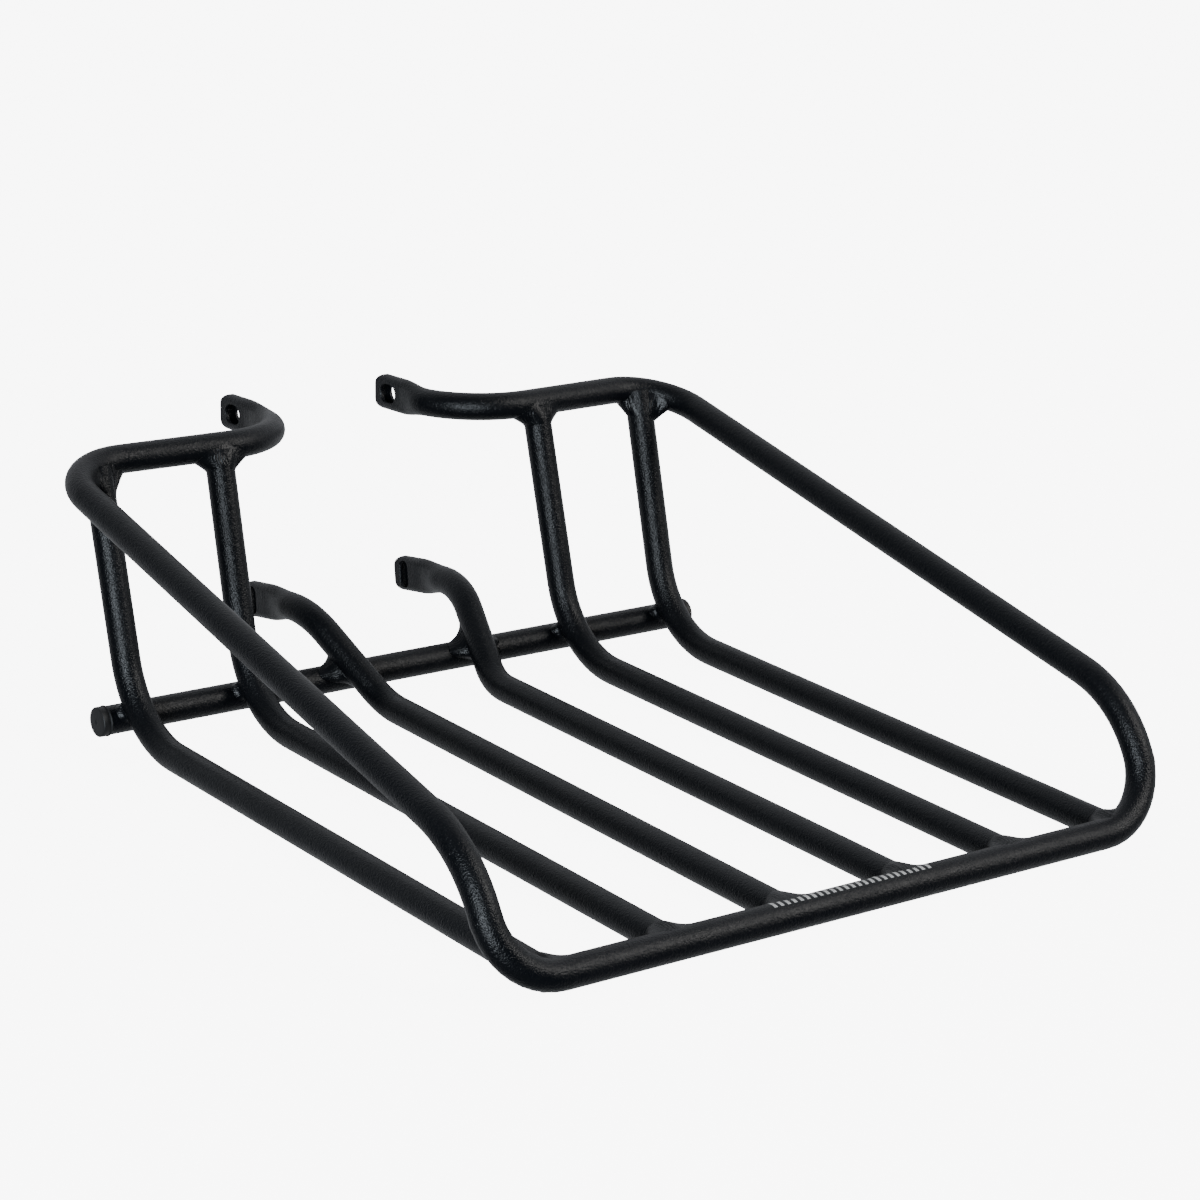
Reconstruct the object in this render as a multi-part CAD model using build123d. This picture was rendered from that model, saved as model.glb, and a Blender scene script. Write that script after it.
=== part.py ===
from build123d import *
import math
import os

# Front luggage carrier: a rigid frame of bent, welded tube that bolts to the front of a bicycle frame.
# Millimetres. +X is to the rider's right, +Y to the rear (towards the rider), +Z up.
# The origin is at the middle of the bounding box in X and Y, at the level of the floor bars' underside.

# Tube
tube_diameter = 12.0
tube_wall = 1.5
tube_radius = tube_diameter / 2
bore_radius = tube_radius - tube_wall

# Overall layout
carrier_length = 381.5
floor_bar_length = 283.2  # from the front bar's centre back to the corner that the stays bend round
floor_z = tube_radius  # centre height of the floor bars and of the front bar
front_y = tube_radius - carrier_length / 2
rear_y = carrier_length / 2
corner_y = front_y + floor_bar_length  # where the stays' floor line and their upright line meet

# Hoop: half of its centre line, from the rear tab to the front bar
upper_tab_x = 39.8
upper_tab_z = floor_z + 102.6
rail_inner_y = corner_y + 30.4
rail_inner_z = floor_z + 106.0
rail_outer_x = 152.7
rail_outer_y = corner_y + 37.7
rail_outer_z = floor_z + 104.8
side_x = 157.2
side_bend_y = corner_y - 263.0
side_bend_z = floor_z + 44.0
front_corner_x = 155.6
tab_bend_radius = 33.0
rail_bend_radius = 27.0
side_bend_radius = 51.0
front_bend_radius = 26.5

# J-shaped stays, which carry on forward as floor bars
outer_stay_x = 136.0
outer_stay_top_x = 136.8
inner_stay_x = 81.9
inner_stay_top_x = 80.4
stay_top_y = corner_y + 32.0
stay_top_z = floor_z + 105.4
stay_bend_radius = 41.5
fish_mouth_stand_off = 0.8  # the tube stops this far short of its neighbour's centre line

# Centre stays
centre_tab_x = 39.3
centre_tab_y = corner_y + 72.2
centre_tab_z = floor_z + 23.4
centre_bend_y = corner_y + 26.1
centre_bend_z = floor_z + 31.0
centre_foot_x = 27.6
centre_foot_y = corner_y - 18.5
centre_front_x = 28.1
centre_upper_bend_radius = 35.0
centre_lower_bend_radius = 27.0

# Rear crossbar, just clear of the outside of the stays' bends
crossbar_half_length = 146.6
crossbar_shift = 1.6  # the bar sits a little to the right of the middle
crossbar_angle = 42.5  # degrees below the bend centre's horizontal
fit_up_gap = 1.0

# Flattened tabs
tab_height = 15.7
tab_thickness = 6.5
tab_flat_length = 19.0
tab_transition_length = 16.0
tab_end_wall = 2.5
tab_corner_radius = 5.0
transition_sections = 6
upper_slot_length = 11.0  # along the tab
upper_slot_width = 8.2
centre_slot_height = 12.0  # across the tab
centre_slot_width = 6.0
slot_end_distance = 4.3  # from the tab's end to the near edge of the slot
slot_bevel = 0.4  # on the slots' outer edges

# Plugs
plug_head_radius = 6.2
plug_head_length = 3.5
plug_flange_length = 0.8
plug_flange_radius = 6.5
plug_edge_radius = 0.8
plug_stem_length = 14.0
plug_rib_count = 4
plug_rib_height = 0.35
plug_rib_length = 1.0

# Weld beads
weld_leg = 5.0  # along the stay, from the surface of the hoop
weld_start = 3.0  # from the hoop's centre line
weld_root_radius = 11.0
weld_toe_radius = 6.4
weld_cover = 0.8  # how far the bead stands over the two tubes' common crown
weld_clear_of_ground = 1.0
cross_weld_radius = 6.0
centre_weld_radius = 7.5
search_steps = 400  # for the point where a stay comes nearest to the crossbar


def mirrored(point):
    """The same point on the other side of the carrier."""
    return Vector(-point.X, point.Y, point.Z)


def path_through(points, radii):
    """Straight runs joined by tangent arcs."""
    return Wire(FilletPolyline(*points, radius=radii).edges())


def swept_rod(path, radius):
    """A round bar of this radius along the path."""
    start = Plane(origin=path @ 0, z_dir=path % 0)
    return sweep(start * Circle(radius), path=path)


def station(path, distance):
    """The plane across the path at this distance along it, its Y axis as near to upright as it goes."""
    origin = path.position_at(distance, position_mode=PositionMode.LENGTH)
    along = path.tangent_at(distance, position_mode=PositionMode.LENGTH)
    return Plane(origin=origin, x_dir=Vector(0, 0, 1).cross(along), z_dir=along)


def flattened_section(plane, roundness, shrink):
    """A cross-section between the flattened tab (roundness 0) and the round tube (roundness 1)."""
    blend = roundness * roundness * (3 - 2 * roundness)
    round_corner = tube_radius / math.sqrt(2)
    flat_shoulder = (tab_height - tab_thickness) / 2
    half_height = tab_height / 2 + (tube_radius - tab_height / 2) * blend
    half_thickness = tab_thickness / 2 + (tube_radius - tab_thickness / 2) * blend
    corner = tab_thickness / 2 + (round_corner - tab_thickness / 2) * blend
    shoulder = flat_shoulder + (round_corner - flat_shoulder) * blend
    corner *= (half_thickness - shrink) / half_thickness
    shoulder *= (half_height - shrink) / half_height
    top = half_height - shrink
    side = half_thickness - shrink
    edges = []
    for hand in (1, -1):
        cap = [(hand * corner, hand * shoulder), (0, hand * top), (-hand * corner, hand * shoulder)]
        edges.append(ThreePointArc(*cap))
        ends = [(-hand * corner, hand * shoulder), (-hand * corner, -hand * shoulder)]
        if blend == 0:
            edges.append(Line(*ends))
        else:
            edges.append(ThreePointArc(ends[0], (-hand * side, 0), ends[1]))
    return plane * make_face(edges)


def tab_body(path, shrink, end_wall):
    """The flattened tab at the path's start, and its change to a round tube."""
    start = flattened_section(station(path, end_wall), 0, shrink)
    flat = extrude(start, tab_flat_length - end_wall)
    sections = []
    for step in range(transition_sections):
        roundness = step / (transition_sections - 1)
        place = station(path, tab_flat_length + tab_transition_length * roundness)
        sections.append(flattened_section(place, roundness, shrink))
    return flat + loft(sections)


def tab_side_plane(path, distance):
    """The plane down the middle of the flat tab: X along the tab from its end, Y up it."""
    across = station(path, distance)
    return Plane(origin=across.origin, x_dir=across.z_dir, z_dir=across.x_dir * -1)


def tab_corner_cutter(path):
    """What rounds off the two corners of the tab's end."""
    outline = Rectangle(2 * tab_corner_radius, 2 * tab_height)
    inside = Rectangle(tab_flat_length, tab_height, align=(Align.MIN, Align.CENTER))
    inside = fillet(inside.vertices().group_by(Axis.X)[0], tab_corner_radius)
    return extrude(tab_side_plane(path, 0) * (outline - inside), tab_thickness, both=True)


def slot_outline(length, height):
    if length > height:
        return SlotOverall(length, height)
    return SlotOverall(height, length, rotation=90)


def slot_cutter(path, length, height):
    """A slot with round ends through both walls of a tab, its outer edges bevelled at 45 degrees."""
    centre = tab_side_plane(path, slot_end_distance + length / 2)
    cutter = extrude(centre * slot_outline(length, height), tab_thickness, both=True)
    spread = 4 * slot_bevel
    for side in (1, -1):
        below = centre.offset(side * (tab_thickness / 2 - slot_bevel))
        above = centre.offset(side * (tab_thickness / 2 + slot_bevel))
        narrow = below * slot_outline(length, height)
        cutter += loft([narrow, above * slot_outline(length + spread, height + spread)])
    return cutter


def round_part(path, both_ends):
    """The stretch of the path along which the tube is round."""
    flattened = tab_flat_length + tab_transition_length
    start = path.position_at(flattened, position_mode=PositionMode.LENGTH)
    end = path @ 1
    if both_ends:
        end = path.position_at(path.length - flattened, position_mode=PositionMode.LENGTH)
    return path.trim(start, end)


def hoop_path():
    """The hoop's centre line, from the end of one tab to the end of the other."""
    half = [
        Vector(upper_tab_x, rear_y, upper_tab_z),
        Vector(upper_tab_x, rail_inner_y, rail_inner_z),
        Vector(rail_outer_x, rail_outer_y, rail_outer_z),
        Vector(side_x, side_bend_y, side_bend_z),
        Vector(front_corner_x, front_y, floor_z),
    ]
    points = half + [mirrored(point) for point in reversed(half)]
    radii = [tab_bend_radius, rail_bend_radius, side_bend_radius, front_bend_radius]
    return path_through(points, radii + radii[::-1])


def hoop(path):
    tab = tab_body(path, 0, 0) - tab_corner_cutter(path)
    hollow = tab_body(path, tube_wall, tab_end_wall)
    slot = slot_cutter(path, upper_slot_length, upper_slot_width)
    line = round_part(path, both_ends=True)
    outside = swept_rod(line, tube_radius) + tab + tab.mirror(Plane.YZ)
    inside = swept_rod(line, bore_radius) + hollow + hollow.mirror(Plane.YZ)
    return outside - inside - slot - slot.mirror(Plane.YZ)


def stay_path(top_x, floor_x):
    """From just under the upper rail's centre line to just behind the front bar's centre line."""
    top = Vector(top_x, stay_top_y, stay_top_z)
    corner = Vector(floor_x, corner_y, floor_z)
    top = top + (corner - top).normalized() * fish_mouth_stand_off
    front = Vector(floor_x, front_y + fish_mouth_stand_off, floor_z)
    return path_through([top, corner, front], [stay_bend_radius])


def centre_stay_path():
    end = Vector(centre_tab_x, centre_tab_y, centre_tab_z)
    bend = Vector(centre_tab_x, centre_bend_y, centre_bend_z)
    foot = Vector(centre_foot_x, centre_foot_y, floor_z)
    front = Vector(centre_front_x, front_y + fish_mouth_stand_off, floor_z)
    return path_through([end, bend, foot, front], [centre_upper_bend_radius, centre_lower_bend_radius])


def stay(path, hoop_solid):
    """A J-shaped stay, its two ends cut to sit on the hoop."""
    return swept_rod(path, tube_radius) - swept_rod(path, bore_radius) - hoop_solid


def centre_stay(path, hoop_solid):
    tab = tab_body(path, 0, 0) - tab_corner_cutter(path)
    hollow = tab_body(path, tube_wall, tab_end_wall)
    slot = slot_cutter(path, centre_slot_width, centre_slot_height)
    line = round_part(path, both_ends=False)
    outside = swept_rod(line, tube_radius) + tab
    inside = swept_rod(line, bore_radius) + hollow
    return outside - inside - slot - hoop_solid


def stay_bend_centre():
    """The centre, in Y and Z, of the arc that the J-shaped stays are bent round."""
    upright = Vector(0, stay_top_y - corner_y, stay_top_z - floor_z).normalized()
    forward = Vector(0, -1, 0)
    bisector = (upright + forward).normalized()
    half_angle = math.radians(upright.get_angle(forward)) / 2
    return Vector(0, corner_y, floor_z) + bisector * (stay_bend_radius / math.sin(half_angle))


def crossbar_centre():
    reach = stay_bend_radius + tube_diameter + fit_up_gap
    angle = math.radians(crossbar_angle)
    outward = Vector(0, math.cos(angle), -math.sin(angle))
    return stay_bend_centre() + outward * reach + Vector(crossbar_shift, 0, 0)


def crossbar_rod(radius):
    middle = crossbar_centre()
    start = Plane(origin=middle, z_dir=(1, 0, 0))
    return extrude(start * Circle(radius), crossbar_half_length, both=True)


def crossbar():
    return crossbar_rod(tube_radius) - crossbar_rod(bore_radius)


def plug():
    """The right-hand plug: a head with a thin flange at the tube's end, and a ribbed stem in the bore."""
    middle = crossbar_centre()
    seat = Plane(origin=(crossbar_half_length, middle.Y, middle.Z), z_dir=(1, 0, 0))
    flange = extrude(seat * Circle(plug_flange_radius), plug_flange_length)
    head = extrude(seat.offset(plug_flange_length) * Circle(plug_head_radius), plug_head_length)
    head = fillet(head.edges().group_by(Axis.X)[-1], plug_edge_radius)
    stem = extrude(seat * Circle(bore_radius - plug_rib_height), -plug_stem_length)
    body = flange + head + stem
    spacing = plug_stem_length / (plug_rib_count + 1)
    for rib in range(1, plug_rib_count + 1):
        place = seat.offset(-rib * spacing)
        body += extrude(place * Circle(bore_radius), plug_rib_length)
    return body


def rod_lengths(path, radius):
    """A round bar along each straight run and each arc of the path, one by one."""
    return [swept_rod(Wire([edge]), radius) for edge in path.edges().sort_by(path)]


def saddle_weld(foot, stay_direction, hoop_lengths, stay_solid, back_cover):
    """A fillet of weld metal round the end of a stay, where it sits on the hoop."""
    place = Plane(origin=foot, x_dir=(1, 0, 0), z_dir=stay_direction)
    height = tube_radius + weld_leg - weld_start
    cone = Solid.make_cone(weld_root_radius, weld_toe_radius, height, plane=place.offset(weld_start))
    front = Plane(origin=place.origin, x_dir=place.x_dir, z_dir=place.y_dir)
    outline = front * Rectangle(3 * weld_root_radius, 3 * weld_root_radius)
    slab = extrude(outline, tube_radius + back_cover) + extrude(outline, -tube_radius - weld_cover)
    bead = Part() + cone - stay_solid
    for length in hoop_lengths:
        bead -= length
    return bead & slab


def crossing_weld(point, radius, stay_solid):
    """A ball of weld metal between two crossing tubes, less the tubes themselves."""
    ball = Location(point) * Sphere(radius)
    return ball - crossbar_rod(tube_radius) - stay_solid


def nearest_on(path, target, near_y):
    """The path's point closest to the target height line, searched near the given Y."""
    best = None
    for step in range(search_steps + 1):
        point = path @ (step / search_steps)
        gap = math.hypot(point.Y - target.Y, point.Z - target.Z)
        if abs(point.Y - near_y) < stay_bend_radius and (best is None or gap < best[0]):
            best = (gap, point)
    return best[1]


def write(shape, name):
    solids = shape.solids()
    export_step(solids[0] if len(solids) == 1 else Compound(solids), f"parts/{name}.step")


os.makedirs("parts", exist_ok=True)

hoop_line = hoop_path()
hoop_filled = swept_rod(hoop_line, tube_radius)
hoop_lengths = rod_lengths(hoop_line, tube_radius)
write(hoop(hoop_line), "hoop")

stay_lines = {
    "outer": stay_path(outer_stay_top_x, outer_stay_x),
    "inner": stay_path(inner_stay_top_x, inner_stay_x),
    "centre": centre_stay_path(),
}
crossbar_at = crossbar_centre()
for kind, line in stay_lines.items():
    filled = swept_rod(line, tube_radius)
    if kind == "centre":
        tube = centre_stay(line, hoop_filled)
    else:
        tube = stay(line, hoop_filled)
    front_foot = line @ 1
    pieces = {f"{kind}_stay": tube}
    pieces[f"front_weld_{kind}"] = saddle_weld(
        front_foot, Vector(0, 1, 0), hoop_lengths, filled, -weld_clear_of_ground
    )
    if kind != "centre":
        pieces[f"upper_weld_{kind}"] = saddle_weld(
            line @ 0, line % 0, hoop_lengths, filled, weld_cover
        )
    touch = nearest_on(line, crossbar_at, crossbar_at.Y)
    between = Vector(touch.X, (touch.Y + crossbar_at.Y) / 2, (touch.Z + crossbar_at.Z) / 2)
    ball_radius = centre_weld_radius if kind == "centre" else cross_weld_radius
    pieces[f"cross_weld_{kind}"] = crossing_weld(between, ball_radius, filled)
    for name, shape in pieces.items():
        write(shape, f"{name}_right")
        write(shape.mirror(Plane.YZ), f"{name}_left")

write(crossbar(), "crossbar")
sideways = Location((crossbar_shift, 0, 0))
write(sideways * plug(), "plug_right")
write(sideways * plug().mirror(Plane.YZ), "plug_left")

path_length = hoop_line.length
print("hoop centre line length", round(path_length, 1))
print("crossbar centre Y, Z", round(crossbar_at.Y, 2), round(crossbar_at.Z, 2))
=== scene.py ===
# %% [markdown]
# # A front luggage carrier for a bicycle
#
# The carrier is a tray made of bent and welded aluminium tube with a satin black powder coat.
# Four tube ends, pressed flat and slotted, bolt it to the front of the bicycle's frame.
# The tubes come from the engineering model and stay exactly as they are. This lesson gives them
# their finish, builds the beads of weld metal and the plastic plugs in detail, prints the marks on
# the front bar, and sets up a small studio.
# The script loads the engineering model from model.glb. Everything here is in metres, in that model's frame.

import math

import bmesh
import bpy
from mathutils import Matrix, Vector
from mathutils.bvhtree import BVHTree


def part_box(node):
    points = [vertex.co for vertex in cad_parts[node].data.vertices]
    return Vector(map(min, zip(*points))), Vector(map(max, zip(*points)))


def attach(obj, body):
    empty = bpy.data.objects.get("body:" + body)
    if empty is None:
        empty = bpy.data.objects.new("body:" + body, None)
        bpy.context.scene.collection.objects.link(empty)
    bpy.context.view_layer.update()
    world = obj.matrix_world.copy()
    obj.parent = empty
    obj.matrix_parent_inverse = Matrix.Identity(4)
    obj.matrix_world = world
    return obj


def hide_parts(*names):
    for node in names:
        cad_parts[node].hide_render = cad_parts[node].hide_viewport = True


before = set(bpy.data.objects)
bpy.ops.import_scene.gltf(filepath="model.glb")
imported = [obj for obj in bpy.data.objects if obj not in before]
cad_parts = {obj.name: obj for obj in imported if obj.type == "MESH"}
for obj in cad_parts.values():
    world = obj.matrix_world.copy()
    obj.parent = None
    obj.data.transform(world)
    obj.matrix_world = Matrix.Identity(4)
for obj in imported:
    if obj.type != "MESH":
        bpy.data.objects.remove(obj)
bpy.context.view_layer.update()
mm = 0.001

# %% [markdown]
# ## The camera
#
# A thin-tubed object is best seen from a few steps away with a long lens, so that the near tubes
# don't flare out towards the viewer. The camera stands to the front left, a little above the tray.
# Its direction is given as an azimuth and an elevation, and it is rolled a little, as if held by
# hand. A Track To constraint could aim it, but it can't roll it as simply. A camera looks along its
# own -Z, so the matrix is built from its right, its up and the direction behind it.

# %% Camera
camera_azimuth = math.radians(-37.63)
camera_elevation = math.radians(17.41)
camera_roll = math.radians(2.64)
camera_place = Vector((-0.8044, -1.0704, 0.4902))

backward = Vector((
    math.sin(camera_azimuth) * math.cos(camera_elevation),
    -math.cos(camera_azimuth) * math.cos(camera_elevation),
    math.sin(camera_elevation),
))
level_right = (-backward).cross(Vector((0, 0, 1))).normalized()
level_up = level_right.cross(-backward)
right = level_right * math.cos(camera_roll) + level_up * math.sin(camera_roll)
up = level_up * math.cos(camera_roll) - level_right * math.sin(camera_roll)

camera_data = bpy.data.cameras.new("studio_camera")
camera_data.sensor_width = 36
camera_data.lens = 105.3
camera_data.clip_start = 0.1
camera_data.clip_end = 60
camera = bpy.data.objects.new("studio_camera", camera_data)
bpy.context.scene.collection.objects.link(camera)
camera_turn = Matrix((right, up, backward)).transposed().to_4x4()
camera.matrix_world = Matrix.Translation(camera_place) @ camera_turn
bpy.context.scene.camera = camera
print("camera stands", round(camera_place.length, 2), "m from the carrier's middle")

# %% [markdown]
# ## Powder coat
#
# Powder coat is plastic dust that is sprayed on dry and melted in an oven. It flows almost smooth,
# and what is left is "orange peel": shallow dimples about a millimetre across, with a finer grain on
# top. They don't show as colour. They show in the highlights, which break up into a soft sparkle.
# A picture of the grain could be wrapped round the tubes, but procedural noise needs no unwrapping
# and has no seams. Two noises drive a bump, and two broader ones vary the colour and the gloss
# very slightly.

# %% Node helpers
def new_material(name):
    """An empty node material with a Principled shader, and the handles to wire it."""
    material = bpy.data.materials.new(name)
    material.use_nodes = True
    tree = material.node_tree
    shader = tree.nodes["Principled BSDF"]
    return material, tree, shader


def object_places(tree):
    """Each point's own place on the object, which stays with it when it moves."""
    return tree.nodes.new("ShaderNodeTexCoord").outputs["Object"]


def add_noise(tree, places, size, detail, roughness=0.5):
    """Noise whose blobs are about this size, in metres."""
    noise = tree.nodes.new("ShaderNodeTexNoise")
    noise.inputs["Scale"].default_value = 1 / size
    noise.inputs["Detail"].default_value = detail
    noise.inputs["Roughness"].default_value = roughness
    tree.links.new(places, noise.inputs["Vector"])
    return noise.outputs["Fac"]


def add_range(tree, value, low, high, to_low, to_high):
    """Maps a value from one range to another, and clamps it."""
    spread = tree.nodes.new("ShaderNodeMapRange")
    spread.inputs["From Min"].default_value = low
    spread.inputs["From Max"].default_value = high
    spread.inputs["To Min"].default_value = to_low
    spread.inputs["To Max"].default_value = to_high
    tree.links.new(value, spread.inputs["Value"])
    return spread.outputs["Result"]


def add_bump(tree, height, strength, depth, below=None):
    """A bump of this depth in metres, on top of another bump's normal if there is one."""
    bump = tree.nodes.new("ShaderNodeBump")
    bump.inputs["Strength"].default_value = strength
    bump.inputs["Distance"].default_value = depth
    tree.links.new(height, bump.inputs["Height"])
    if below is not None:
        tree.links.new(below, bump.inputs["Normal"])
    return bump.outputs["Normal"]


def add_colour_mix(tree, share, colour_a, colour_b):
    """A blend of two colours."""
    mix = tree.nodes.new("ShaderNodeMix")
    mix.data_type = "RGBA"
    mix.inputs["A"].default_value = (*colour_a, 1)
    mix.inputs["B"].default_value = (*colour_b, 1)
    tree.links.new(share, mix.inputs["Factor"])
    return mix.outputs["Result"]


# %% Powder coat
patch_size = 0.030
haze_size = 0.012
peel_size = 0.0011
grain_size = 0.0006
grain_share = 1.6
deep_black = (0.0026, 0.0035, 0.0056)
worn_black = (0.0048, 0.0060, 0.0086)
coat_specular = 0.42


def powder_coat(name, peel_depth, gloss_low, gloss_high):
    """Satin black powder coat: how deep its dimples are, and the range of its roughness."""
    material, tree, shader = new_material(name)
    places = object_places(tree)
    patches = add_noise(tree, places, patch_size, 3)
    black = add_colour_mix(tree, patches, deep_black, worn_black)
    tree.links.new(black, shader.inputs["Base Color"])
    haze = add_noise(tree, places, haze_size, 4)
    tree.links.new(add_range(tree, haze, 0.35, 0.65, gloss_low, gloss_high), shader.inputs["Roughness"])
    peel = add_noise(tree, places, peel_size, 1)
    grain = add_noise(tree, places, grain_size, 1, 0.6)
    dimples = add_bump(tree, peel, 1.0, peel_depth)
    relief = add_bump(tree, grain, 1.0, peel_depth * grain_share, dimples)
    tree.links.new(relief, shader.inputs["Normal"])
    shader.inputs["Specular IOR Level"].default_value = coat_specular
    return material


tube_coat = powder_coat("tube_powder_coat", 0.14 * mm, 0.29, 0.37)
weld_coat = powder_coat("weld_powder_coat", 0.08 * mm, 0.26, 0.35)
print("powder coats made:", tube_coat.name, weld_coat.name)

# %% [markdown]
# ## Moulded plastic and marking ink
#
# The plugs in the crossbar's ends are injection-moulded plastic. It is a shade lighter than the coat
# and duller, with a very fine texture from the mould. The marks on the front bar are printed in a
# matt pale ink, which lies slightly uneven on the grain of the coat.
# Both could be plain colours, but up close that looks like a toy, so a noise gives the plastic its
# faint bloom and breaks the ink up a little.

# %% Plug plastic and ink
def moulded_plastic():
    """Dull black plastic with a faint bloom."""
    material, tree, shader = new_material("plug_polyethylene")
    places = object_places(tree)
    bloom = add_noise(tree, places, 0.004, 3)
    colour = add_colour_mix(tree, bloom, (0.010, 0.010, 0.011), (0.018, 0.018, 0.019))
    tree.links.new(colour, shader.inputs["Base Color"])
    roughness = add_range(tree, bloom, 0.3, 0.7, 0.50, 0.62)
    tree.links.new(roughness, shader.inputs["Roughness"])
    texture = add_noise(tree, places, 0.0005, 2)
    tree.links.new(add_bump(tree, texture, 1.0, 0.00003), shader.inputs["Normal"])
    shader.inputs["Specular IOR Level"].default_value = 0.9
    return material


def marking_ink():
    """Matt pale ink that the coat's grain breaks up a little."""
    material, tree, shader = new_material("scale_ink")
    places = object_places(tree)
    cover = add_range(tree, add_noise(tree, places, grain_size, 3), 0.35, 0.55, 0, 1)
    colour = add_colour_mix(tree, cover, (0.50, 0.50, 0.50), (0.92, 0.92, 0.90))
    tree.links.new(colour, shader.inputs["Base Color"])
    shader.inputs["Roughness"].default_value = 0.7
    grain = add_noise(tree, places, 0.0003, 2)
    tree.links.new(add_bump(tree, grain, 1.0, 0.00001), shader.inputs["Normal"])
    return material


plug_plastic = moulded_plastic()
scale_ink = marking_ink()
print("small parts' materials:", plug_plastic.name, scale_ink.name)

# %% [markdown]
# ## The tubes
#
# The hoop and the six stays are bent on a machine, and the crossbar is straight. A curve with a
# round bevel could draw them, but the engineering model already holds their exact shape: the bends,
# the tabs pressed flat at the ends and the slots with their bevelled edges.
# So nothing is modelled again here. Each tube keeps its mesh and gets the powder coat.

# %% Coat the tubes
tube_names = ["hoop", "crossbar"] + sorted(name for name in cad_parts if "_stay_" in name)
for name in tube_names:
    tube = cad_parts[name]
    tube.data.materials.clear()
    tube.data.materials.append(tube_coat)
print("coated tubes:", ", ".join(tube_names))

# %% [markdown]
# ## Finding the tubes by touch
#
# The weld beads have to lie on the tubes to a tenth of a millimetre. Their places could be typed in,
# but they would be wrong as soon as a tube changed. A BVH tree finds the point of a mesh that is
# nearest to any place very quickly. A tube is round, so its centre line lies one radius behind the
# point nearest to a place outside it.

# %% Probes
bar_low, bar_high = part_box("crossbar")
tube_radius = (bar_high.z - bar_low.z) / 2
trees = {}
for name in tube_names:
    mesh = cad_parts[name].data
    corners = [vertex.co for vertex in mesh.vertices]
    trees[name] = BVHTree.FromPolygons(corners, [face.vertices for face in mesh.polygons])


def on_surface(name, point):
    """The nearest point on a tube's surface."""
    return trees[name].find_nearest(point)[0]


def centre_line(name, outside):
    """The point of a tube's centre line that is nearest to a place outside the tube."""
    touch = on_surface(name, outside)
    return touch + (touch - outside).normalized() * tube_radius


side_x = Vector((1, 0, 0))
side_y = Vector((0, 1, 0))
side_z = Vector((0, 0, 1))
print("tube radius in mm", round(tube_radius / mm, 2))

# %% [markdown]
# ## A bead of weld metal
#
# A welder lays metal in overlapping puddles, and every puddle leaves a crescent-shaped ripple. The
# bead runs round the joint, and its edges, the "toes", lie on the two tubes.
# Sculpting this by hand, or a noise texture, would not follow the joint. So the bead is a ring of
# cross-sections: each has one toe on the first tube and one on the second, a crown between them and
# a root hidden behind it. The ripple is real relief: a lopsided wave along the bead, whose crests are
# out of step between the middle and the toes and so curve into crescents. A slow wander makes it
# strong in one stretch and almost smooth in the next, as a hand does.

# %% Bead builder
ripple_pitch = 1.4 * mm
ripple_height = 0.16 * mm
ripple_lag = 1.7
ripple_drift = 0.25
ripple_mean = 0.35
ripple_swing = 1.3
toe_fade = 0.4
toe_depth = 0.12 * mm
crown_steps = 15


def wander(share, seed):
    """A slow, repeatable waviness from -1 to 1 round a closed seam, so that no two beads match."""
    turn = 2 * math.pi * share
    twice = math.sin(2 * turn + 1.7 * seed)
    three_times = math.sin(3 * turn + 2.9 * seed)
    five_times = math.sin(5 * turn + 4.3 * seed)
    return (twice + three_times + five_times) / 3


def ripple(phase):
    """A lopsided wave: steep in front of each puddle and shallow behind it."""
    return math.sin(phase) + 0.35 * math.sin(2 * phase + 0.7) + 0.12 * math.sin(3 * phase + 1.9)


def bead_mesh(name, sections, closed, seed):
    """A bead with ripples, from sections of (toe, toe, root, outward direction, crown height)."""
    middles = [(a + b) / 2 for a, b, root, outward, crown in sections]
    lengths = [0.0]
    for here, there in zip(middles, middles[1:] + middles[:1]):
        lengths.append(lengths[-1] + (there - here).length)
    whole = lengths[-1] if closed else lengths[-2]
    turns = max(3, round(whole / ripple_pitch))
    work = bmesh.new()
    rings = []
    for place, (a, b, root, outward, crown) in zip(lengths, sections):
        share = place / whole
        ring = []
        for step in range(crown_steps + 1):
            u = step / crown_steps
            hump = 4 * u * (1 - u)
            phase = 2 * math.pi * (turns * share + ripple_lag * hump + ripple_drift * wander(share, seed))
            strength = min(1.0, max(0.05, ripple_mean + ripple_swing * wander(share, seed + 3)))
            rise = crown * hump + ripple_height * strength * ripple(phase) * hump ** toe_fade
            ring.append(work.verts.new(a.lerp(b, u) + outward * rise))
        ring.append(work.verts.new(root))
        rings.append(ring)
    pairs = list(zip(rings, rings[1:] + rings[:1])) if closed else list(zip(rings, rings[1:]))
    for ring, after in pairs:
        for corner in range(len(ring)):
            beside = (corner + 1) % len(ring)
            work.faces.new((ring[corner], ring[beside], after[beside], after[corner]))
    if not closed:
        work.faces.new(rings[0])
        work.faces.new(rings[-1])
    bmesh.ops.recalc_face_normals(work, faces=work.faces)
    mesh = bpy.data.meshes.new(name)
    work.to_mesh(mesh)
    work.free()
    for face in mesh.polygons:
        face.use_smooth = True
    mesh.materials.append(weld_coat)
    bead = bpy.data.objects.new(name, mesh)
    bpy.context.scene.collection.objects.link(bead)
    return bead


# %% [markdown]
# ## Beads round the stays' ends
#
# Each stay's end is cut to a fish mouth that sits on the hoop, and the bead goes round the
# saddle-shaped seam. On the two flanks the tubes meet at about a right angle, and the bead is a
# fillet. On the other two sides the tubes' surfaces run into each other, and it is a low ridge.
# Two tubes could be joined with a Boolean and a bevel, but the bevel would have the same size all
# round. One function makes all ten beads: under the upper rail the bead goes all the way round, and
# on the front bar it stops short of the underside, which has to stay flush with the ground.

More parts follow.
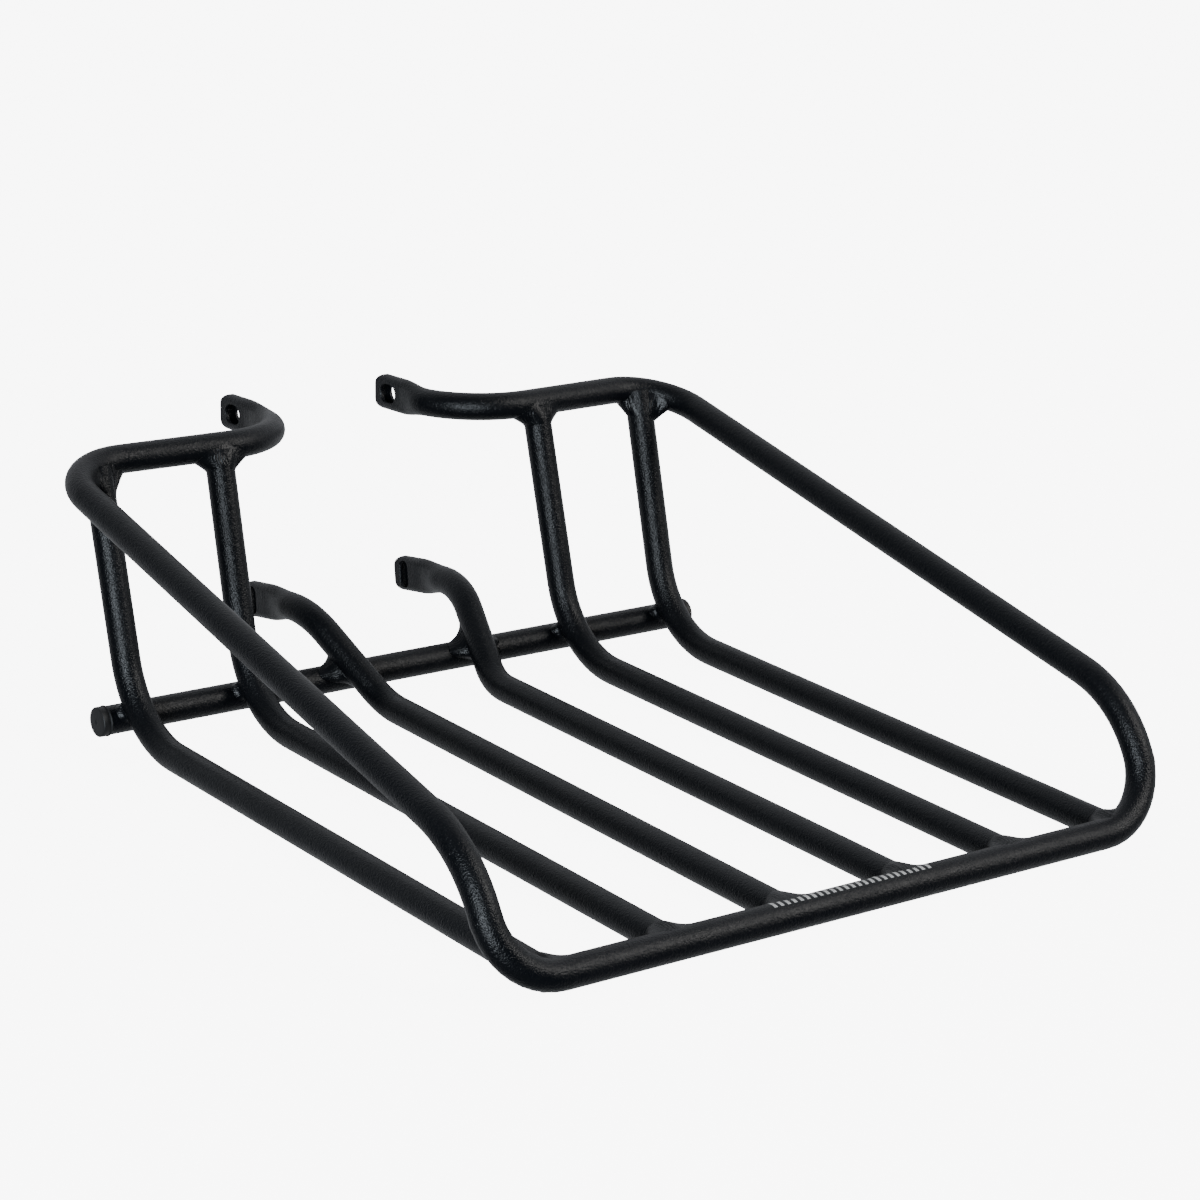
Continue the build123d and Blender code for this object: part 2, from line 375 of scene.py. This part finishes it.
# %% Saddle beads
saddle_sections = 300
flank_leg = 5.2 * mm
face_leg = 1.9 * mm
stay_toe = 10.2 * mm
flank_crown = -0.10 * mm
face_crown = 0.65 * mm
ground_clearance = 0.35 * mm
root_depth = 0.8 * mm


def saddle_bead(name, foot, stay_way, hoop_way, open_half_angle, shape, seed):
    """A bead round the end of a stay whose centre line meets the hoop's at foot.

    The shape is its size, and how much further it reaches ahead along the hoop and down the stay than behind.
    """
    size, leg_lean, drop_lean = shape
    face_way = hoop_way.cross(stay_way).normalized()
    flank_way = stay_way.cross(face_way).normalized()
    closed = open_half_angle == 0
    first = -math.pi / 2 + open_half_angle
    sweep_angle = 2 * (math.pi - open_half_angle)
    sections = []
    count = saddle_sections if closed else saddle_sections + 1
    for step in range(count):
        share = step / saddle_sections
        angle = first + sweep_angle * share
        aside = flank_way * math.cos(angle) + face_way * math.sin(angle)
        level = aside * tube_radius + stay_way * tube_radius * abs(math.cos(angle))
        seam = on_surface("hoop", foot + level)
        normal = (seam - foot - hoop_way * (seam - foot).dot(hoop_way)).normalized()
        away = (aside - stay_way) - normal * (aside - stay_way).dot(normal)
        flank = math.cos(angle) ** 2
        ease = 1.0 if closed else min(1.0, 5 * share + 0.15, 5 * (1 - share) + 0.15)
        ahead = math.cos(angle)
        leg = (face_leg + (flank_leg - face_leg) * flank) * size * (1 + leg_lean * ahead) * ease
        leg *= 1 + 0.10 * wander(share, seed + 1)
        toe_level = stay_toe * (1 + drop_lean * ahead) * (1 + 0.045 * wander(share, seed + 2))
        drop = (toe_level - (seam - foot).dot(stay_way)) * ease
        toe_b = on_surface("hoop", seam + away.normalized() * leg)
        toe_a = foot + aside * tube_radius + stay_way * ((seam - foot).dot(stay_way) + drop)
        outward = (aside + normal).normalized()
        root = seam - outward * root_depth
        crown = (face_crown + (flank_crown - face_crown) * flank) * ease
        sections.append((toe_a - aside * toe_depth, toe_b - normal * toe_depth, root, outward, crown))
    if not closed:
        for toe_a, toe_b, root, outward, crown in sections:
            toe_a.z = max(toe_a.z, ground_clearance)
            toe_b.z = max(toe_b.z, ground_clearance)
    return bead_mesh(name, sections, closed, seed)


upper_shapes = {
    "outer_left": (1.45, 0.42, 0.12),
    "outer_right": (1.22, 0.26, 0.16),
    "inner_left": (1.10, 0.08, 0.04),
    "inner_right": (1.10, 0.06, 0.03),
}
front_shape = (1.20, 0.22, 0.06)
gap_below = math.radians(38)
weld_pieces = []
for order, side in enumerate(("left", "right")):
    for kind in ("outer", "inner"):
        node = f"upper_weld_{kind}_{side}"
        low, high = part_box(node)
        before = Vector(((low.x + high.x) / 2, low.y - 20 * mm, low.z - 4 * mm))
        near = centre_line(f"{kind}_stay_{side}", before)
        far = centre_line(f"{kind}_stay_{side}", before - side_z * 12 * mm)
        stay_way = (far - near).normalized()
        rail = centre_line("hoop", near)
        rail_inside = centre_line("hoop", near - side_x * math.copysign(4 * mm, near.x))
        rail_outside = centre_line("hoop", near + side_x * math.copysign(4 * mm, near.x))
        hoop_way = (rail_outside - rail_inside).normalized() * math.copysign(1, near.x)
        foot = near + stay_way * (rail - near).dot(stay_way)
        shape = upper_shapes[f"{kind}_{side}"]
        seed = 5 * order + len(kind)
        bead = saddle_bead(f"weld_bead_{node}", foot, stay_way, hoop_way, 0, shape, seed)
        weld_pieces.append((bead, node))
    for kind in ("outer", "inner", "centre"):
        node = f"front_weld_{kind}_{side}"
        low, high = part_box(node)
        above = Vector(((low.x + high.x) / 2, high.y + 4 * mm, high.z + 20 * mm))
        near = centre_line(f"{kind}_stay_{side}", above)
        far = centre_line(f"{kind}_stay_{side}", above + side_y * 12 * mm)
        stay_way = (far - near).normalized()
        bar_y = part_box("hoop")[0].y + tube_radius
        foot = near + stay_way * (bar_y - near.y) / stay_way.y
        seed = 7 * order + len(kind)
        bead = saddle_bead(f"weld_bead_{node}", foot, stay_way, side_x, gap_below, front_shape, seed)
        weld_pieces.append((bead, node))
print("saddle beads:", len(weld_pieces), "with", len(weld_pieces[0][0].data.polygons), "faces each")

# %% [markdown]
# ## Beads at the crossbar
#
# The stays pass in front of the crossbar and come nearest to it at one point, so the welder fills
# the crevice around that point. A squashed ball of metal could stand for it, but it would have no
# toes. So one toe of the bead wraps part of the way round the stay, the other part of the way round
# the crossbar, and the crown is hollow, because the metal is drawn into the crevice.

# %% Crossing beads
crossing_sections = 260
crossing_legs = {
    "outer": (6.5 * mm, 6.8 * mm, math.radians(50), math.radians(50)),
    "inner": (6.5 * mm, 6.8 * mm, math.radians(50), math.radians(50)),
    "centre": (12.5 * mm, 13.0 * mm, math.radians(76), math.radians(64)),
}
crossing_hollow = -1.0 * mm
crevice_half_width = 1.5 * mm


def crossing_bead(name, stay, legs, seed):
    """A bead round the point where a stay rests against the crossbar."""
    along_stay, along_bar, round_stay, round_bar = legs
    low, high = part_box(name.replace("weld_bead_", ""))
    bar_centre = (bar_low + bar_high) / 2
    bar_centre.x = (low.x + high.x) / 2
    for repeat in range(4):
        touch = on_surface(stay, bar_centre)
        bar_centre.x = touch.x
    towards_bar = (bar_centre - touch).normalized()
    stay_centre = touch - towards_bar * tube_radius
    stay_way = towards_bar.cross(side_x).normalized()
    crevice = (touch + bar_centre - towards_bar * tube_radius) / 2
    sections = []
    for step in range(crossing_sections):
        share = step / crossing_sections
        turn = 2 * math.pi * share
        swell = 1 + 0.10 * wander(share, seed)
        lean = round_stay * math.cos(turn)
        toe_a = stay_centre + stay_way * along_stay * swell * math.sin(turn)
        toe_a += (side_x * math.sin(lean) + towards_bar * math.cos(lean)) * tube_radius
        toe_a = on_surface(stay, toe_a)
        roll = round_bar * math.sin(turn)
        toe_b = bar_centre + side_x * along_bar * swell * math.cos(turn)
        toe_b += (stay_way * math.sin(roll) - towards_bar * math.cos(roll)) * tube_radius
        toe_b = on_surface("crossbar", toe_b)
        outward = side_x * math.cos(turn) + stay_way * math.sin(turn)
        root = crevice + outward * crevice_half_width
        sink_a = (toe_a - root).normalized() * toe_depth
        sections.append((toe_a - sink_a, toe_b, root, outward, crossing_hollow))
    return bead_mesh(name, sections, True, seed)


for order, side in enumerate(("left", "right")):
    for kind, legs in crossing_legs.items():
        node = f"cross_weld_{kind}_{side}"
        bead = crossing_bead(f"weld_bead_{node}", f"{kind}_stay_{side}", legs, 3 * order + len(kind))
        weld_pieces.append((bead, node))

for bead, node in weld_pieces:
    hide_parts(node)
    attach(bead, "root")
print("beads in all:", len(weld_pieces))

# %% [markdown]
# ## The plugs
#
# A plug is round, so its outline is drawn once and spun round the crossbar's axis. Stacked cylinders
# would have hard edges, and bevelling each one is more work than an outline. The head has a soft
# edge and a slightly crowned face with the mark of the mould's gate in the middle. A thin flange
# stops it at the tube's end. The barbed stem holds it in the bore.

# %% Plug outline and lathe
head_reach = 3.5 * mm
head_radius = 6.2 * mm
flange_radius = 6.45 * mm
flange_reach = 0.8 * mm
edge_radius = 0.5 * mm
face_crown_height = 0.2 * mm
gate_radius = 0.9 * mm
gate_depth = 0.18 * mm
stem_radius = 4.15 * mm
barb_radius = 4.45 * mm
stem_reach = 14 * mm
barb_count = 4
lathe_steps = 96


def arc_points(centre, radius, start, end, steps):
    """Points on an arc of the outline, as (distance out of the tube, radius)."""
    turns = [math.radians(start + (end - start) * step / steps) for step in range(steps + 1)]
    return [(centre[0] + radius * math.sin(turn), centre[1] + radius * math.cos(turn)) for turn in turns]


def plug_outline():
    """The plug's outline from the middle of its stem's end to the middle of its face."""
    outline = [(-stem_reach, 0), (-stem_reach, stem_radius - 0.4 * mm), (-stem_reach + 0.4 * mm, stem_radius)]
    spacing = stem_reach / (barb_count + 1)
    for barb in range(barb_count):
        tip = -stem_reach + (barb + 1) * spacing
        outline += [(tip - 1.2 * mm, stem_radius), (tip, barb_radius), (tip + 0.1 * mm, stem_radius)]
    outline += [(0, stem_radius)]
    rim = flange_reach / 2
    outline += arc_points((rim, flange_radius - rim), rim, -90, 90, 12)
    top = flange_reach + head_reach
    outline += [(flange_reach + 0.05 * mm, head_radius - 0.25 * mm), (flange_reach + 0.3 * mm, head_radius)]
    shoulder = (top - edge_radius - face_crown_height, head_radius - edge_radius)
    outline += arc_points(shoulder, edge_radius, 0, 82, 10)
    flat = head_radius - edge_radius
    for step in range(1, 8):
        radius = flat + (gate_radius - flat) * step / 8
        outline.append((top - face_crown_height * (radius / flat) ** 2, radius))
    outline += [(top, gate_radius), (top - gate_depth, gate_radius - 0.2 * mm), (top - gate_depth, 0)]
    return outline


def turned_plug(name, hand):
    """A plug spun round the crossbar's axis; hand is 1 on the right and -1 on the left."""
    seat = (bar_low + bar_high) / 2
    seat.x = bar_high.x if hand > 0 else bar_low.x
    work = bmesh.new()
    outline = [work.verts.new(seat + Vector((hand * reach, 0, radius))) for reach, radius in plug_outline()]
    edges = [work.edges.new(pair) for pair in zip(outline, outline[1:])]
    whole_turn = 2 * math.pi
    bmesh.ops.spin(
        work, geom=outline + edges, cent=seat, axis=side_x, angle=whole_turn, steps=lathe_steps, use_merge=True
    )
    bmesh.ops.remove_doubles(work, verts=work.verts, dist=0.001 * mm)
    bmesh.ops.recalc_face_normals(work, faces=work.faces)
    mesh = bpy.data.meshes.new(name)
    work.to_mesh(mesh)
    work.free()
    for face in mesh.polygons:
        face.use_smooth = True
    mesh.materials.append(plug_plastic)
    plug = bpy.data.objects.new(name, mesh)
    bpy.context.scene.collection.objects.link(plug)
    return plug


for side, hand in (("left", -1), ("right", 1)):
    plug = turned_plug(f"moulded_plug_{side}", hand)
    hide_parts(f"plug_{side}")
    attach(plug, "root")
    print(plug.name, "faces", len(plug.data.polygons))

# %% [markdown]
# ## Measuring marks on the front bar
#
# The middle of the front bar carries a plain row of printed marks, like the edge of a ruler. Printed
# ink is very thin, so each mark is a thin curved tile that hugs the tube. A mask in the coat's
# material would work too, but tiles stay crisp from any distance.

# %% Printed scale
scale_length = 74 * mm
scale_intervals = 24
long_every = 4
long_mark = 4.3 * mm
short_mark = 3.2 * mm
mark_width = 1.4 * mm
ink_thickness = 0.03 * mm
mark_steps = 8


def printed_scale(name):
    """A row of thin curved tiles on top of the front bar."""
    bar_centre = Vector((0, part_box("hoop")[0].y + tube_radius, tube_radius))
    work = bmesh.new()
    for mark in range(scale_intervals + 1):
        x = -scale_length / 2 + scale_length * mark / scale_intervals
        height = long_mark if mark % long_every == 0 else short_mark
        front_edge = long_mark / 2 / tube_radius
        rings = []
        for step in range(mark_steps + 1):
            angle = -front_edge + height / tube_radius * step / mark_steps
            spot = Vector((0, math.sin(angle), math.cos(angle)))
            ring = []
            for half, lift in ((-1, -1), (1, -1), (1, 1), (-1, 1)):
                place = bar_centre + spot * (tube_radius + lift * ink_thickness)
                ring.append(work.verts.new(place + side_x * (x + half * mark_width / 2)))
            rings.append(ring)
        for ring, after in zip(rings, rings[1:]):
            for corner in range(4):
                beside = (corner + 1) % 4
                work.faces.new((ring[corner], ring[beside], after[beside], after[corner]))
        work.faces.new(rings[0])
        work.faces.new(rings[-1])
    bmesh.ops.recalc_face_normals(work, faces=work.faces)
    mesh = bpy.data.meshes.new(name)
    work.to_mesh(mesh)
    work.free()
    mesh.materials.append(scale_ink)
    scale = bpy.data.objects.new(name, mesh)
    bpy.context.scene.collection.objects.link(scale)
    return scale


scale = printed_scale("printed_scale")
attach(scale, "root")
print("marks printed:", scale_intervals + 1)

# %% [markdown]
# ## The studio
#
# The carrier is black, so what shows is what its coat mirrors. The camera sees it on a glowing light
# table, which makes the outline stand out and leaves no shadow. The table is only for the camera: if
# the tubes mirrored it, they would look grey. A plain white floor under strong lamps would do that.

# %% Light table and surround
pale = (0.90, 0.90, 0.89, 1)
table_half = 14.0
table_strength = 8.0
surround_strength = 9.0


def light_table():
    """A large pale floor with a glow of its own, for the camera alone."""
    corners = [(-table_half, -table_half, 0), (table_half, -table_half, 0)]
    corners += [(table_half, table_half, 0), (-table_half, table_half, 0)]
    mesh = bpy.data.meshes.new("light_table")
    mesh.from_pydata(corners, [], [(0, 1, 2, 3)])
    floor = bpy.data.objects.new("light_table", mesh)
    bpy.context.scene.collection.objects.link(floor)
    material, tree, shader = new_material("pale_floor")
    shader.inputs["Base Color"].default_value = pale
    shader.inputs["Roughness"].default_value = 1.0
    shader.inputs["Specular IOR Level"].default_value = 0.0
    shader.inputs["Emission Color"].default_value = (1, 1, 1, 1)
    shader.inputs["Emission Strength"].default_value = table_strength
    material.cycles.emission_sampling = "NONE"
    mesh.materials.append(material)
    floor.visible_glossy = False
    floor.visible_diffuse = False
    floor.visible_shadow = False
    return floor


light_table()
surround = bpy.data.worlds.new("pale_surround")
bpy.context.scene.world = surround
surround.use_nodes = True
surround.node_tree.nodes["Background"].inputs["Color"].default_value = pale
surround.node_tree.nodes["Background"].inputs["Strength"].default_value = surround_strength
surround.cycles_visibility.glossy = False
surround.cycles_visibility.diffuse = False
print("light table half width in m", table_half)

# %% [markdown]
# ## The dome that the coat mirrors
#
# What the tubes mirror is a dome that the camera doesn't see. It is pale behind the carrier, because
# a glancing view of a tube mirrors what is behind it, and that draws a thin bright line along every
# edge. It is dim above and below, and almost dark on the camera's side, like a room behind a camera.
# Large cards could do the same, but every card's edge would show in the tubes. A dome's glow fades.

# %% Mirror dome
dome_radius = 6.0
behind_glow = 0.52
table_glow = 0.075
dim_glow = 0.012


def mirror_dome():
    """A dome that only the coat mirrors: pale behind the carrier, dim above and below."""
    work = bmesh.new()
    bmesh.ops.create_icosphere(work, subdivisions=4, radius=dome_radius)
    mesh = bpy.data.meshes.new("mirror_dome")
    work.to_mesh(mesh)
    work.free()
    dome = bpy.data.objects.new("mirror_dome", mesh)
    bpy.context.scene.collection.objects.link(dome)
    material = bpy.data.materials.new("dome_glow")
    material.use_nodes = True
    tree = material.node_tree
    tree.nodes.clear()
    places = object_places(tree)
    behind = tree.nodes.new("ShaderNodeVectorMath")
    behind.operation = "DOT_PRODUCT"
    behind.inputs[1].default_value = Vector((-backward.x, -backward.y, 0)).normalized() / dome_radius
    tree.links.new(places, behind.inputs[0])
    backdrop = add_range(tree, behind.outputs["Value"], -0.15, 0.6, 0, behind_glow)
    split = tree.nodes.new("ShaderNodeSeparateXYZ")
    tree.links.new(places, split.inputs[0])
    steepness = tree.nodes.new("ShaderNodeMath")
    steepness.operation = "ABSOLUTE"
    tree.links.new(split.outputs["Z"], steepness.inputs[0])
    fade_start = 0.2 * dome_radius
    fade_end = 0.8 * dome_radius
    top_and_table = add_range(tree, steepness.outputs[0], fade_start, fade_end, dim_glow, table_glow)
    both = tree.nodes.new("ShaderNodeMath")
    both.operation = "ADD"
    tree.links.new(backdrop, both.inputs[0])
    tree.links.new(top_and_table, both.inputs[1])
    glow = tree.nodes.new("ShaderNodeEmission")
    glow.inputs["Color"].default_value = (0.92, 0.95, 1.0, 1)
    tree.links.new(both.outputs[0], glow.inputs["Strength"])
    output = tree.nodes.new("ShaderNodeOutputMaterial")
    tree.links.new(glow.outputs[0], output.inputs["Surface"])
    material.cycles.emission_sampling = "NONE"
    mesh.materials.append(material)
    dome.visible_camera = False
    dome.visible_shadow = False
    return dome


mirror_dome()
print("dome radius in m", dome_radius)

# %% [markdown]
# ## Soft boxes
#
# Two soft boxes draw the highlights. A wide one beside the camera gives the upright stays their
# broad, slightly blue band. A tall, narrow one at the right puts the band along the rail and the
# front bar, and the second, fainter stripe on the stays. Spot lamps would draw thin, hard lines.

# %% Soft boxes
aim = Vector((0, 0, 0.05))


def soft_box(name, azimuth, elevation, distance, width, height, watts, tint):
    """A rectangular light that stands in a direction given as for the camera and points at the carrier."""
    turn = math.radians(azimuth)
    rise = math.radians(elevation)
    way = Vector((math.sin(turn) * math.cos(rise), -math.cos(turn) * math.cos(rise), math.sin(rise)))
    lamp = bpy.data.lights.new(name, "AREA")
    lamp.shape = "RECTANGLE"
    lamp.size = width
    lamp.size_y = height
    lamp.energy = watts
    lamp.color = tint
    light = bpy.data.objects.new(name, lamp)
    bpy.context.scene.collection.objects.link(light)
    light.rotation_mode = "QUATERNION"
    light.location = aim + way * distance
    light.rotation_quaternion = (-way).to_track_quat("-Z", "Y")
    return light


box_distance = 2.0
cool_white = (0.84, 0.92, 1.0)
warm_white = (1.0, 0.98, 0.95)
soft_box("camera_side_box", -51, 9, box_distance, 0.85, 1.1, 29, cool_white)
soft_box("right_box", 38, 36, box_distance, 0.45, 1.5, 14, warm_white)
print("soft boxes:", len(bpy.data.lights))
